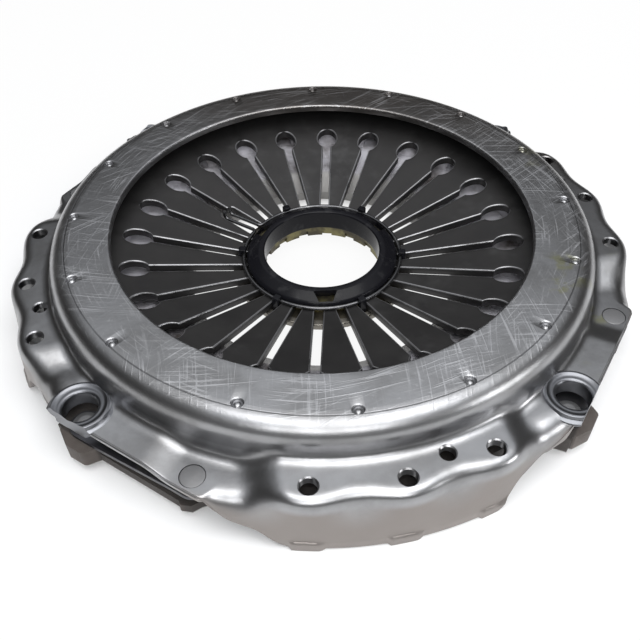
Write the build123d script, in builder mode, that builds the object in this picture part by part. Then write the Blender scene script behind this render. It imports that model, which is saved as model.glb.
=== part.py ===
"""Pull-type clutch cover assembly for a 430 mm clutch disc: cover, spring, plate and release ring.

Frame: origin at the centre of the seat plane, where the feet of the cover stand on the
flywheel; +Z points to the gearbox. Four bolt pads lie on the X and Y axes, and the four
strap bays lie between them. The spring is shown relaxed, as before the cover is bolted down.
"""
import math
import os

from build123d import *

# ---------------------------------------------------------------- driving dimensions, mm
# cover pressing
sheet = 6.0                 # sheet thickness
crown_height = 71.5         # top of the crown ring above the seat plane
crown_fall = 1.3            # how far the crown drops from its fold line to its shoulder
lip_radius = 159.5          # edge of the crown's opening
lip_round = 1.5
fold_radius = 187.0         # where the flat of the crown ends
crown_radius = 207.5        # corner between the crown and its side wall
wall_foot_radius = 212.0    # side wall where it meets the pads
shoulder_round = 12.0       # rounding over the crown's corner
shoulder_hollow = 3.5       # rounding inside that corner, clear of the pivot ring
pad_height = 47.0           # top of the bolt pads
skirt_radius = 240.0        # outside of the skirt below the pads
skirt_hollow = 1.0          # rounding inside the outer edge of a pad; outside adds the sheet
bay_edge = 231.0            # straight free edge of a bay, from the axis
plateau_height = 41.0       # bay floor round the access hole
seat_height = 36.5          # bay floor round the strap rivet
groove_height = 40.0        # bottom of the groove beside the access hole
bay_half_width = 87.0       # from the middle of a bay to where its ramps reach the pads
ramp_run = 11.0             # length of the ramp between a pad and a bay
bend_round = 3.0            # rounding of the bends along it
groove_run = 14.0           # width of the groove beside the access hole
seat_start = 12.0           # where the step down to the rivet seat begins, from mid-bay
step_run = 12.0             # length of that step
step_skew = -5.0            # the step runs across the bay at this angle, degrees
step_round = 5.0
collar_radius = 19.5        # raised collar round the access hole
collar_rise = 3.5
collar_round = 1.5
collar_lift = 1.0           # its underside stays this far inside the sheet
collar_edge = 232.0         # its outer side is cut straight, this far from the axis
sleeve_radius = 17.5        # sleeve drawn down from it
sleeve_foot = 31.5
access_radius = 11.5        # access hole over the plate-side rivet
window_left = [             # edge of the skirt's opening on the groove's side: across, height
    (-117.0, 6.0), (-111.5, 21.0), (-80.0, 28.0)
]
window_head_left = -66.0    # where that edge reaches the height of the seat's underside
window_head_right = 63.0    # where the edge on the rivet's side reaches it
window_right = [            # and how it runs down from there
    (71.5, 21.8), (82.5, 17.2), (91.5, 15.5), (100.5, 7.5), (109.0, 0.5)
]
window_round = 3.0          # rounding of its corners
flute_depth = 4.5           # hollows in the pad's outer edge, between the bolts
flute_radius = 26.0
foot_width = 20.5           # coined feet that stand on the flywheel
foot_spacing = 14.5         # degrees between the three feet of a pad
foot_turn = -0.9            # middle foot, degrees from the middle of the pad
foot_height = 7.5
foot_step = 1.4             # how far a foot stands out of the skirt
edge_lift = 1.2             # skirt between the feet stays clear of the flywheel

# bolts and dowels
bolt_circle = 225.0
bolt_hole = 5.75
bolt_spacing = 15.0         # degrees between the three bolts of a pad
dowel_circle = 216.2
dowel_hole = 5.0
dowel_angle = 7.5           # degrees from the middle of a pad

# stake marks over the pivot ring
stake_count = 16
stake_pitch = 22.0          # degrees, with one wider gap over the pivot ring's joint
stake_start = -118.4
stake_circle = 189.5
stake_radius = 3.5
stake_depth = 2.6
stake_boss = 2.6            # radius of the point that the stake raises underneath

# pivot ring
pivot_radius = 197.0
pivot_wire = 4.5            # wire radius
pivot_gap = 7.0             # degrees left open at its joint
seat_gap = 0.15             # clearance between pieces that seat on a curved face

# diaphragm spring
spring_radius = 201.0
spring_tip = 58.5
spring_sheet = 6.2
spring_round = 1.2          # rounding of its edges
spring_slope = 0.2          # rise of the relaxed cone for each mm of radius
finger_count = 24
slot_width = 6.8
keyhole_circle = 146.0
keyhole_long = 11.5
keyhole_wide = 8.5
tail_slot = 135.0           # slot that is widened for the tails of the retaining wire
tail_slot_width = 15.0
tail_slot_end = 97.0
tail_slot_round = 2.5

# pressure plate
plate_face = 7.0            # friction face above the seat plane, spring relaxed
plate_radius = 218.0
plate_bore = 105.0
plate_thick = 23.0          # at the rim
plate_inner_thick = 16.0    # at the bore
rim_chamfer = 3.0
bore_land = 11.0            # flat land round the bore
bore_slope = 4.0            # height and width of the slope behind it
ridge_radius = 168.0        # where the spring presses on the plate
ridge_width = 6.0           # of its blunt top
ridge_spread = 9.0          # from its middle to the foot of each flank
ridge_foot = 1.0            # foot of the flanks above the rim
ridge_round = 2.5
ridge_channels = 12
channel_width = 15.0
channel_start = 0.0         # degrees from the X axis to the first channel
pocket_wall = 206.5         # inner wall of the recess under each bay, from the axis
pocket_half = 95.0          # half its length
lug_height = 14.5           # lug top above the friction face
lug_reach = 238.5           # outer face of the lugs, from the axis
lug_cut = 9.0               # slant of the lug's outer face at its back
lug_side = 18.0             # lug on each side of its rivet, at its outer edge
lug_root_back = 26.0        # and at its root
lug_root_front = 22.0
lug_face_back = 2.0         # straight outer face, back and front of the rivet
lug_face_front = 12.0
lug_round = 4.0
flange_reach = 229.4        # straight flange between the lugs
flange_thick = 8.0
flange_back = 16.0          # flange past the plate rivet
flange_stop = 7.0           # its straight edge stops this far short of the cover rivet
flange_tail = 24.0          # where it runs into the rim, past the cover rivet
flange_round = 2.0
rim_lap = 18.0              # how far flanges run in under the rim
nub_rise = 2.0              # small nub at the end of the straight edge
nub_slope = 2.0
nub_tail = 5.0

# straps between the cover and the plate
strap_count = 3
strap_sheet = 1.0
strap_width = 22.0
strap_line = 220.4          # line of the strap rivets, from the axis
strap_half = 45.5           # half the distance between a strap's rivets
rivet_radius = 5.0
rivet_clearance = 0.15
cover_head = 9.0            # radius of the flush head on the cover side
cover_head_depth = 2.5
closing_head = 8.0          # radius of the head that closes a cover rivet
closing_head_height = 3.5
washer_radius = 10.0
washer_thick = 1.5
plate_head = 9.0            # radius of the head on the plate side
plate_head_height = 3.5
plate_tail = 8.0            # radius of the closing head sunk in the lug
plate_tail_depth = 4.0
plate_tail_lift = 1.0       # it stays this far above the friction face

# release ring, thrust ring and their retaining wire
hub_bore = 48.3
hub_radius = 56.5
hub_foot = 11.0             # lowest edge of the hub above the seat plane
hub_chamfer = 2.0
hub_round = 1.0
hub_lip = 1.6               # hub's top above the finger tips
hub_notches = 15
hub_notch_width = 8.0
hub_notch_depth = 2.0
hub_notch_height = 5.0
flange_radius = 71.5
hub_flange_thick = 5.4
thrust_bore = 45.6
thrust_wall = 2.4
thrust_radius = 60.0
thrust_rise = 7.6           # height of its crown above the hub
thrust_skirt = 9.0          # how far its inner wall reaches below the hub's top
thrust_flat = 2.0           # flat on its crown, outside the inner wall
thrust_lap = 0.4            # its rim reaches this far below the hub's top
thrust_lift = 0.5           # its underside clears the hub's top
thrust_bend = 1.0
thrust_round = 1.1
thrust_shoulder = 2.0
pocket_inner = 50.2
pocket_outer = 58.2
pocket_inner_width = 18.0
pocket_outer_width = 10.5
pocket_angle = -100.0
wire_radius = 1.5
wire_circle = 62.5
wire_tail_gap = 7.0         # distance between the two tails of the wire
wire_tail_end = 90.0
wire_bend = 4.0
wire_rise = 3.0             # how far each tail stands up past its last bend
clip_count = 6
clip_width = 5.4
clip_thick = 2.6
clip_start = -135.0

# ---------------------------------------------------------------- derived places
below = 10.0                                # how far cutting solids run past a face
hair = 0.01                                 # tolerance for finding an edge by its height
pads = 4
bay_start = 45.0                            # first bay, halfway between two pads
crown_under = crown_height - sheet
cone_angle = math.degrees(math.atan(spring_slope))
cone_cosine = math.cos(math.radians(cone_angle))
spring_rise = spring_sheet / cone_cosine    # spring thickness measured along Z
pivot_height = crown_under - seat_gap - pivot_wire
spring_at_pivot = pivot_height - (pivot_wire + seat_gap) / cone_cosine


def spring_top(radius):
    """Height of the relaxed spring's upper face at a radius."""
    return spring_at_pivot + spring_slope * (radius - pivot_radius)


def spring_under(radius):
    """Height of the relaxed spring's lower face at a radius."""
    return spring_top(radius) - spring_rise


plate_top = plate_face + plate_thick
lug_top = plate_face + lug_height
strap_pack = strap_count * strap_sheet
strap_cover_top = seat_height - sheet       # straps lie under the rivet seat
strap_plate_top = lug_top + strap_pack      # and on top of the lugs
hub_flange_top = spring_under(spring_tip)
hub_top = spring_top(spring_tip) + hub_lip
wire_height = spring_top(wire_circle) + (wire_radius + seat_gap) / cone_cosine


def side_plane(distance, turn=0.0, skew=0.0):
    """Upright plane facing outward at a distance from the axis; its axes run across and up."""
    out = Vector(1, 0, 0).rotate(Axis.Z, turn)
    facing = out.rotate(Axis.Z, -skew)
    return Plane(origin=out * distance, x_dir=facing.rotate(Axis.Z, 90), z_dir=facing)


def section_plane(turn=0.0):
    """Upright half plane through the axis: its axes are the radius and the height."""
    out = Vector(1, 0, 0).rotate(Axis.Z, turn)
    return Plane(origin=(0, 0, 0), x_dir=out, z_dir=out.rotate(Axis.Z, -90))


def write(part, name):
    part.label = name
    export_step(part, f"parts/{name}.step")


# ---------------------------------------------------------------- cover
def crown(inset):
    """Solid of revolution under the crown, stepped inward by inset."""
    top = crown_height - inset
    lean = (wall_foot_radius - crown_radius) / (crown_height - pad_height)
    with BuildPart() as body:
        with BuildSketch(section_plane()) as profile:
            with BuildLine():
                fall = 0 if inset else crown_fall
                corner = (crown_radius - inset, top - fall)
                foot = (crown_radius - inset + lean * (top - fall + below), -below)
                Polyline(
                    (0, -below), (0, top), (fold_radius, top), corner, foot, close=True
                )
            make_face()
            rounding = shoulder_hollow if inset else shoulder_round
            fillet(profile.vertices().sort_by_distance(corner)[0], rounding)
        revolve(axis=Axis.Z)
    return body.part


def bay_cutter(inset):
    """What the press takes off a bay: everything above its floor, from one pad to the next."""
    top = crown_height
    pad = pad_height - inset
    plateau = plateau_height - inset
    groove = groove_height - inset
    left = -bay_half_width
    with BuildPart() as cutter:
        with BuildSketch(side_plane(crown_radius - 2 * sheet)) as profile:
            with BuildLine():
                Polyline(
                    (left - ramp_run, top),
                    (left - ramp_run / 2, pad),
                    (left + ramp_run / 2, groove),
                    (left + ramp_run / 2 + groove_run / 2, groove),
                    (left + ramp_run / 2 + groove_run, plateau),
                    (bay_half_width - ramp_run, plateau),
                    (bay_half_width, pad),
                    (bay_half_width + ramp_run, top),
                    close=True,
                )
            make_face()
            bends = profile.vertices().sort_by(Axis.Y)[:-2]
            fillet(bends, bend_round)
        extrude(amount=bay_edge - crown_radius + 6 * sheet)
    return cutter.part


def seat_cutter(inset):
    """The deeper floor round the strap rivet, with a skewed step on its inner side."""
    seat = seat_height - inset
    end = bay_half_width - ramp_run / 2
    with BuildPart() as cutter:
        with BuildSketch(side_plane(strap_line, skew=step_skew)) as profile:
            with BuildLine():
                Polyline(
                    (seat_start, plateau_height + step_run),
                    (seat_start, plateau_height - inset),
                    (seat_start + step_run, seat),
                    (end - 2 * ramp_run, seat),
                    (end, pad_height - inset),
                    (end, pad_height + step_run),
                    close=True,
                )
            make_face()
            fillet(profile.vertices().sort_by(Axis.Y)[:2], step_round)
        extrude(amount=bay_edge - crown_radius, both=True)
    return cutter.part


def flute(inset):
    """Hollow in the outer edge of a pad that runs out towards the seat."""
    reach = flute_radius + inset
    with BuildPart() as cutter:
        with BuildSketch(Plane.XY.offset(pad_height)):
            with Locations((skirt_radius - flute_depth + flute_radius, 0)):
                Circle(reach)
        extrude(
            amount=-pad_height,
            taper=math.degrees(math.atan(flute_depth / (pad_height - foot_height))),
        )
    return cutter.part


def pressing(inset, edge):
    """Envelope of the whole pressing, stepped inward by inset, its bays trimmed at edge."""
    trim = skirt_radius
    base = -below if inset else 0
    with BuildPart() as body:
        with BuildSketch(Plane.XY.offset(base)):
            Circle(skirt_radius - inset)
            with PolarLocations(0, pads, start_angle=bay_start):
                with Locations((edge + trim / 2, 0)):
                    Rectangle(trim, 2 * trim, mode=Mode.SUBTRACT)
        extrude(amount=pad_height - inset - base)
        rim = body.edges().group_by(Axis.Z)[-1].filter_by(GeomType.CIRCLE)
        fillet(rim, skirt_hollow + sheet - inset)
        for offset in (-1.5, -0.5, 0.5, 1.5):
            with PolarLocations(0, pads, start_angle=offset * bolt_spacing):
                add(flute(inset), mode=Mode.SUBTRACT)
        with PolarLocations(0, pads, start_angle=bay_start):
            add(bay_cutter(inset), mode=Mode.SUBTRACT)
            add(seat_cutter(inset), mode=Mode.SUBTRACT)
        add(crown(inset))
    return body.part


def window():
    """Opening of the skirt under a bay; its two edges rise to the bay floor differently."""
    (left, _), (right, _) = window_left[0], window_right[-1]
    with BuildPart() as cutter:
        with BuildSketch(side_plane(plate_radius - 2 * sheet)) as profile:
            with BuildLine():
                Polyline(
                    (left, -below),
                    *window_left,
                    (window_head_left, strap_cover_top),
                    (window_head_right, strap_cover_top),
                    *window_right,
                    (right, -below),
                    close=True,
                )
            make_face()
            corners = profile.vertices().filter_by_position(
                Axis.Y, foot_height + hair, strap_cover_top - hair
            )
            fillet(corners, window_round)
        extrude(amount=skirt_radius - plate_radius + 4 * sheet)
    return cutter.part


def collar():
    """Raised rim round an access hole, cut straight outside, with a sleeve drawn down."""
    with BuildPart() as rim:
        with BuildSketch(Plane.XY.offset(plateau_height - sheet + collar_lift)):
            Circle(collar_radius)
            with Locations((collar_edge - strap_line + collar_radius, 0)):
                Rectangle(2 * collar_radius, 2 * collar_radius, mode=Mode.SUBTRACT)
        extrude(amount=sheet - collar_lift + collar_rise)
        fillet(rim.edges().group_by(Axis.Z)[-1], collar_round)
        with BuildSketch(Plane.XY.offset(sleeve_foot)):
            Circle(sleeve_radius)
        extrude(amount=plateau_height - collar_lift - sleeve_foot)
    return rim.part


def cover():
    foot_depth = sheet + foot_step
    with BuildPart() as body:
        add(pressing(0, bay_edge))
        add(pressing(sheet, bay_edge + 2 * sheet), mode=Mode.SUBTRACT)
        with PolarLocations(0, pads, start_angle=bay_start):
            add(window(), mode=Mode.SUBTRACT)
        # the skirt clears the flywheel between its feet
        with BuildSketch(Plane.XY):
            Circle(skirt_radius + below)
            Circle(crown_radius, mode=Mode.SUBTRACT)
        extrude(amount=edge_lift, mode=Mode.SUBTRACT)
        for offset in (-1, 0, 1):
            with BuildSketch(Plane.XY):
                with PolarLocations(0, pads, start_angle=offset * foot_spacing + foot_turn):
                    with Locations((skirt_radius + foot_step - foot_depth / 2, 0)):
                        Rectangle(foot_depth, foot_width)
            extrude(amount=foot_height)
        # raised collars round the access holes, a little proud of the bay's edge
        with PolarLocations(0, pads, start_angle=bay_start):
            with Locations((strap_line, -strap_half)):
                add(collar())
        # opening of the crown, with a rounded lip
        Hole(lip_radius)
        lip = body.edges().filter_by(GeomType.CIRCLE).filter_by_position(
            Axis.Z, crown_height - hair, crown_height + hair
        )
        fillet(lip.sort_by(SortBy.RADIUS)[0], lip_round)
        # access holes, rivet holes with their flush seats, bolt holes and dowel holes
        with PolarLocations(0, pads, start_angle=bay_start):
            with Locations((strap_line, -strap_half)):
                Hole(access_radius)
            with Locations((strap_line, strap_half, seat_height)):
                CounterBoreHole(
                    rivet_radius + rivet_clearance, cover_head + rivet_clearance, cover_head_depth
                )
        for offset in (-1, 0, 1):
            with PolarLocations(bolt_circle, pads, start_angle=offset * bolt_spacing):
                with Locations((0, 0, pad_height)):
                    Hole(bolt_hole, depth=2 * sheet)
        with PolarLocations(dowel_circle, pads, start_angle=dowel_angle):
            with Locations((0, 0, pad_height)):
                Hole(dowel_hole, depth=2 * sheet)
        # stakes: a blind punch above, a small point below that keeps the pivot ring outside it
        stakes = [stake_start + stake_pitch * k for k in range(stake_count)]
        for angle in stakes:
            with BuildSketch(Plane.XY.offset(crown_under - stake_depth)):
                with PolarLocations(stake_circle, 1, start_angle=angle):
                    Circle(stake_boss)
            extrude(amount=stake_depth + sheet / 2)
            with BuildSketch(Plane.XY.offset(crown_height - stake_depth)):
                with PolarLocations(stake_circle, 1, start_angle=angle):
                    Circle(stake_radius)
            extrude(amount=stake_depth, mode=Mode.SUBTRACT)
    write(body.part, "cover")


# ---------------------------------------------------------------- pivot ring and spring
def pivot_ring():
    """Wire ring that the spring's rim rocks on, open at the wide gap between the stakes."""
    opening = stake_start - (360 - stake_pitch * (stake_count - 1)) / 2
    with BuildPart() as body:
        with BuildSketch(section_plane(opening + pivot_gap / 2)):
            with Locations((pivot_radius, pivot_height)):
                Circle(pivot_wire)
        revolve(axis=Axis.Z, revolution_arc=360 - pivot_gap)
    write(body.part, "pivot_ring")


def diaphragm_spring():
    """Coned spring cut into fingers by slots that end in keyholes."""
    tall = crown_height
    with BuildPart() as body:
        with BuildSketch(section_plane()) as section:
            with BuildLine():
                Polyline(
                    (spring_tip, spring_under(spring_tip)),
                    (spring_tip, spring_top(spring_tip)),
                    (spring_radius, spring_top(spring_radius)),
                    (spring_radius, spring_under(spring_radius)),
                    close=True,
                )
            make_face()
            fillet(section.vertices(), spring_round)
        revolve(axis=Axis.Z)
        with BuildSketch():
            with PolarLocations(0, finger_count):
                with Locations((keyhole_circle / 2, 0)):
                    Rectangle(keyhole_circle, slot_width)
                with Locations((keyhole_circle, 0)):
                    Ellipse(keyhole_long, keyhole_wide)
            with PolarLocations(0, 1, start_angle=tail_slot):
                with Locations((tail_slot_end / 2, 0)):
                    RectangleRounded(tail_slot_end, tail_slot_width, tail_slot_round)
        extrude(amount=tall, mode=Mode.SUBTRACT)
    write(body.part, "diaphragm_spring")


# ---------------------------------------------------------------- pressure plate
def flange_outline():
    """Straight flange of the plate in a bay, with a small nub at its far end."""
    inner = plate_radius - rim_lap
    with BuildSketch() as outline:
        with BuildLine():
            Polyline(
                (inner, -strap_half - flange_back),
                (flange_reach, -strap_half - flange_back),
                (flange_reach, strap_half - flange_stop),
                (flange_reach + nub_rise, strap_half - flange_stop + nub_slope),
                (flange_reach - nub_rise / 2, strap_half + nub_slope),
                (flange_reach - flange_stop, strap_half + nub_tail),
                (inner, strap_half + flange_tail),
                close=True,
            )
        make_face()
        fillet(outline.vertices().group_by(Axis.X)[-1], flange_round)
    return outline.sketch


def lug_outline():
    """Outline of a lug, round its strap rivet and straight towards the bay's middle."""
    inner = pocket_wall - rim_lap
    with BuildSketch() as outline:
        with BuildLine():
            Polyline(
                (inner, -strap_half - lug_root_back),
                (lug_reach - lug_cut, -strap_half - lug_side),
                (lug_reach, -strap_half - lug_face_back),
                (lug_reach, -strap_half + lug_face_front),
                (flange_reach, -strap_half + lug_side),
                (inner, -strap_half + lug_root_front),
                close=True,
            )
        make_face()
        fillet(outline.vertices().group_by(Axis.X)[-1], lug_round)
    return outline.sketch


def pressure_plate():
    """Cast ring with a broken fulcrum ridge, four strap lugs and straight flanges."""
    half = ridge_width / 2
    crest = spring_under(ridge_radius - half) - seat_gap
    bore_top = plate_face + plate_inner_thick
    ridge_base = plate_top + ridge_foot
    with BuildPart() as body:
        with BuildSketch(section_plane()) as section:
            with BuildLine():
                Polyline(
                    (plate_bore, plate_face),
                    (plate_radius, plate_face),
                    (plate_radius, plate_top - rim_chamfer),
                    (plate_radius - rim_chamfer, plate_top),
                    (ridge_radius + ridge_spread, ridge_base),
                    (ridge_radius + half, crest),
                    (ridge_radius - half, crest),
                    (ridge_radius - ridge_spread, ridge_base),
                    (plate_bore + bore_land + bore_slope, bore_top + bore_slope),
                    (plate_bore + bore_land, bore_top),
                    (plate_bore, plate_face + plate_inner_thick / 2),
                    close=True,
                )
            make_face()
            fillet(section.vertices().group_by(Axis.Y)[-1], ridge_round)
        revolve(axis=Axis.Z)
        with BuildSketch(Plane.XY.offset(ridge_base)):
            with PolarLocations(ridge_radius, ridge_channels, start_angle=channel_start):
                Rectangle(3 * ridge_spread, channel_width)
        extrude(amount=crest, mode=Mode.SUBTRACT)
        # the rim is cut back in each bay, clear of the bay floor when the plate lifts
        with BuildSketch(Plane.XY.offset(plate_face + flange_thick)):
            with PolarLocations(0, pads, start_angle=bay_start):
                with Locations((pocket_wall, 0)):
                    Rectangle(4 * rim_lap, 2 * pocket_half)
            Circle(pocket_wall, mode=Mode.SUBTRACT)
        extrude(amount=plate_thick, mode=Mode.SUBTRACT)
        with BuildSketch(Plane.XY.offset(plate_face)):
            with PolarLocations(0, pads, start_angle=bay_start):
                add(flange_outline())
        extrude(amount=flange_thick)
        with BuildSketch(Plane.XY.offset(plate_face)):
            with PolarLocations(0, pads, start_angle=bay_start):
                add(lug_outline())
        extrude(amount=lug_height)
        # rivet holes, with a sunk seat for the closing head in the friction side
        with PolarLocations(0, pads, start_angle=bay_start):
            with Locations((strap_line, -strap_half, lug_top)):
                Hole(rivet_radius + rivet_clearance, depth=2 * lug_height)
        with BuildSketch(Plane.XY.offset(plate_face)):
            with PolarLocations(0, pads, start_angle=bay_start):
                with Locations((strap_line, -strap_half)):
                    Circle(plate_tail + rivet_clearance)
        extrude(amount=plate_tail_depth + plate_tail_lift, mode=Mode.SUBTRACT)
    write(body.part, "pressure_plate")


# ---------------------------------------------------------------- straps and rivets
def strap(bay, layer):
    """One leaf of a strap pack: flat under the rivets, straight and inclined between them."""
    start = strap_plate_top - layer * strap_sheet
    end = strap_cover_top - layer * strap_sheet
    flat = strap_half - strap_width / 2
    tip = strap_half + strap_width / 2
    turn = bay_start + 360 / pads * bay
    with BuildPart() as leaf:
        with BuildSketch(side_plane(strap_line - strap_width / 2, turn)):
            with BuildLine():
                Polyline(
                    (-tip, start), (-flat, start), (flat, end), (tip, end),
                    (tip, end - strap_sheet), (flat, end - strap_sheet),
                    (-flat, start - strap_sheet), (-tip, start - strap_sheet),
                    close=True,
                )
            make_face()
        extrude(amount=strap_width)
        with BuildSketch(Plane.XY.rotated((0, 0, turn))):
            with Locations((strap_line, 0)):
                SlotCenterToCenter(2 * strap_half, strap_width, rotation=90)
            with Locations((strap_line, -strap_half), (strap_line, strap_half)):
                Circle(rivet_radius + rivet_clearance, mode=Mode.SUBTRACT)
        extrude(amount=pad_height, mode=Mode.INTERSECT)
    write(leaf.part, f"strap_{bay + 1}_{layer + 1}")


def rivets(name, side, steps):
    """Four solid rivets; steps are (radius, lowest, highest) of each head and shank."""
    with BuildPart() as group:
        for radius, lowest, highest in steps:
            with BuildSketch(Plane.XY.offset(lowest)):
                with PolarLocations(0, pads, start_angle=bay_start):
                    with Locations((strap_line, side * strap_half)):
                        Circle(radius)
            extrude(amount=highest - lowest)
    write(group.part, name)


def strap_washers():
    """Washers between the strap packs and the closing heads of the cover rivets."""
    with BuildPart() as group:
        with BuildSketch(Plane.XY.offset(strap_cover_top - strap_pack - washer_thick)):
            with PolarLocations(0, pads, start_angle=bay_start):
                with Locations((strap_line, strap_half)):
                    Circle(washer_radius)
                    Circle(rivet_radius + rivet_clearance, mode=Mode.SUBTRACT)
        extrude(amount=washer_thick)
    write(group.part, "strap_washers")


# ---------------------------------------------------------------- release parts
def release_ring():
    """Hub that pulls the fingers: a sleeve, a flange under the tips, a notched lower rim."""
    with BuildPart() as body:
        with BuildSketch(section_plane()) as section:
            with BuildLine():
                Polyline(
                    (hub_bore, hub_foot),
                    (hub_radius - hub_chamfer, hub_foot),
                    (hub_radius, hub_foot + hub_chamfer),
                    (hub_radius, hub_flange_top - hub_flange_thick),
                    (flange_radius, hub_flange_top - hub_flange_thick),
                    (flange_radius, hub_flange_top),
                    (hub_radius, hub_flange_top),
                    (hub_radius, hub_top),
                    (hub_bore, hub_top),
                    close=True,
                )
            make_face()
            rim = section.vertices().group_by(Axis.X)[-1]
            fillet(rim, hub_round)
        revolve(axis=Axis.Z)
        with BuildSketch(Plane.XY.offset(hub_foot)):
            with PolarLocations(hub_bore, hub_notches):
                Rectangle(2 * hub_notch_depth, hub_notch_width)
        extrude(amount=hub_notch_height, mode=Mode.SUBTRACT)
    write(body.part, "release_ring")


def thrust_ring():
    """Pressed ring over the hub: rounded crown, inner wall and three pockets."""
    crown_top = hub_top + thrust_rise
    outer_wall = thrust_bore + thrust_wall
    with BuildPart() as body:
        with BuildSketch(section_plane()) as section:
            with BuildLine():
                Polyline(
                    (thrust_bore, hub_top - thrust_skirt),
                    (thrust_bore, crown_top),
                    (outer_wall + thrust_flat, crown_top),
                    (thrust_radius, hub_top + thrust_wall),
                    (thrust_radius, hub_top - thrust_lap),
                    (thrust_radius - thrust_wall, hub_top - thrust_lap),
                    (thrust_radius - thrust_wall, hub_top + thrust_lift),
                    (outer_wall + thrust_bend, crown_top - thrust_wall - thrust_bend / 2),
                    (outer_wall, crown_top - thrust_wall - thrust_bend),
                    (outer_wall, hub_top - thrust_skirt),
                    close=True,
                )
            make_face()
            highest = section.vertices().group_by(Axis.Y)[-1]
            fillet(highest, thrust_round)
            shoulder = section.vertices().sort_by_distance((thrust_radius, hub_top + thrust_wall))
            fillet(shoulder[0], thrust_shoulder)
        revolve(axis=Axis.Z)
        with BuildSketch(Plane.XY.offset(hub_top - thrust_bend)):
            with PolarLocations(0, 3, start_angle=pocket_angle):
                with BuildLine():
                    Polyline(
                        (pocket_inner, -pocket_inner_width / 2),
                        (pocket_outer, -pocket_outer_width / 2),
                        (pocket_outer, pocket_outer_width / 2),
                        (pocket_inner, pocket_inner_width / 2),
                        close=True,
                    )
                make_face()
        extrude(amount=2 * thrust_rise, mode=Mode.SUBTRACT)
    write(body.part, "thrust_ring")


def retaining_wire():
    """Wire ring on top of the finger tips, its two tails lying in the widened slot."""
    half = wire_tail_gap / 2
    turn = math.degrees(math.asin((half + wire_bend) / (wire_circle + wire_bend)))
    elbow = (wire_circle + wire_bend) * math.cos(math.radians(turn))
    slot = Plane.XY.offset(wire_height).rotated((0, 0, tail_slot))
    with BuildPart() as body:
        with BuildSketch(section_plane(tail_slot + turn)):
            with Locations((wire_circle, wire_height)):
                Circle(wire_radius)
        revolve(axis=Axis.Z, revolution_arc=360 - 2 * turn)
        for side in (-1, 1):
            tail = slot.from_local_coords((elbow, side * half, 0))
            centre = slot.from_local_coords((elbow, side * (half + wire_bend), 0))
            with BuildSketch(Plane(origin=tail, z_dir=slot.x_dir)):
                Circle(wire_radius)
            revolve(axis=Axis(centre, (0, 0, -side)), revolution_arc=90 - turn)
            with BuildSketch(Plane(origin=tail, z_dir=slot.x_dir)):
                Circle(wire_radius)
            extrude(amount=wire_tail_end - elbow)
            # the end turns up over the spring
            tip = slot.from_local_coords((wire_tail_end, side * half, 0))
            above = slot.from_local_coords((wire_tail_end, side * half, wire_bend))
            with BuildSketch(Plane(origin=tip, z_dir=slot.x_dir)):
                Circle(wire_radius)
            revolve(axis=Axis(above, -slot.y_dir), revolution_arc=90)
            riser = slot.from_local_coords((wire_tail_end + wire_bend, side * half, wire_bend))
            with BuildSketch(Plane(origin=riser, z_dir=(0, 0, 1))):
                Circle(wire_radius)
            extrude(amount=wire_rise)
    write(body.part, "retaining_wire")


def wire_clips():
    """Hooks that stand on the hub's flange, pass between the fingers and hold the wire."""
    inner = wire_circle + wire_radius + seat_gap
    outer = inner + clip_thick
    under = wire_height + wire_radius + seat_gap
    with BuildPart() as group:
        for k in range(clip_count):
            turn = clip_start + 360 / clip_count * k
            with BuildSketch(section_plane(turn)) as section:
                with BuildLine():
                    Polyline(
                        (inner, hub_flange_top),
                        (outer, hub_flange_top),
                        (outer, under + clip_thick),
                        (wire_circle - wire_radius, under + clip_thick),
                        (wire_circle - wire_radius, under),
                        (inner, under),
                        close=True,
                    )
                make_face()
                corner = section.vertices().sort_by_distance((outer, under + clip_thick))[0]
                fillet(corner, clip_thick / 2)
            extrude(amount=clip_width / 2, both=True)
    write(group.part, "wire_clips")


os.makedirs("parts", exist_ok=True)
cover()
pivot_ring()
diaphragm_spring()
pressure_plate()
for bay in range(pads):
    for layer in range(strap_count):
        strap(bay, layer)
strap_pack_bottom = strap_cover_top - strap_pack
closing_top = strap_pack_bottom - washer_thick
rivets("cover_rivets", 1, [
    (cover_head, seat_height - cover_head_depth, seat_height),
    (rivet_radius, closing_top, seat_height),
    (closing_head, closing_top - closing_head_height, closing_top),
])
tail_end = plate_face + plate_tail_lift
rivets("plate_rivets", -1, [
    (plate_tail, tail_end, tail_end + plate_tail_depth),
    (rivet_radius, tail_end, strap_plate_top),
    (plate_head, strap_plate_top, strap_plate_top + plate_head_height),
])
strap_washers()
release_ring()
thrust_ring()
retaining_wire()
wire_clips()
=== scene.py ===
import bmesh
import bpy
import numpy as np
from mathutils import Matrix, Vector


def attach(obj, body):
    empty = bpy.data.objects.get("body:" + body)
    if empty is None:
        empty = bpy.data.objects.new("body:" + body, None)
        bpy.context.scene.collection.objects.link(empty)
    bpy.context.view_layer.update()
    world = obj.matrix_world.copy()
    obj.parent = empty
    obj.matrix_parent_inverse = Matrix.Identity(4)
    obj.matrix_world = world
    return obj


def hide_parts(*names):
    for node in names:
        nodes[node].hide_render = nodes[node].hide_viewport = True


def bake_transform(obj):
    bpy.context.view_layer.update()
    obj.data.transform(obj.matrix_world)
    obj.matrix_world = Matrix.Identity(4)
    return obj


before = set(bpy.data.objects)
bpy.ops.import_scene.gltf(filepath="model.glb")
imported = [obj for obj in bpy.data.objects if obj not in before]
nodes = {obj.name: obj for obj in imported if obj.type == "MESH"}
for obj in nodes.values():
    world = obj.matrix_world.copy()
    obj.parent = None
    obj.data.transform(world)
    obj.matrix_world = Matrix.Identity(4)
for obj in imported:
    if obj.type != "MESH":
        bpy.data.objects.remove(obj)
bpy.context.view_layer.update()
mm = 0.001
bays = range(4)
print("frame loaded,", len(nodes), "nodes")


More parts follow.
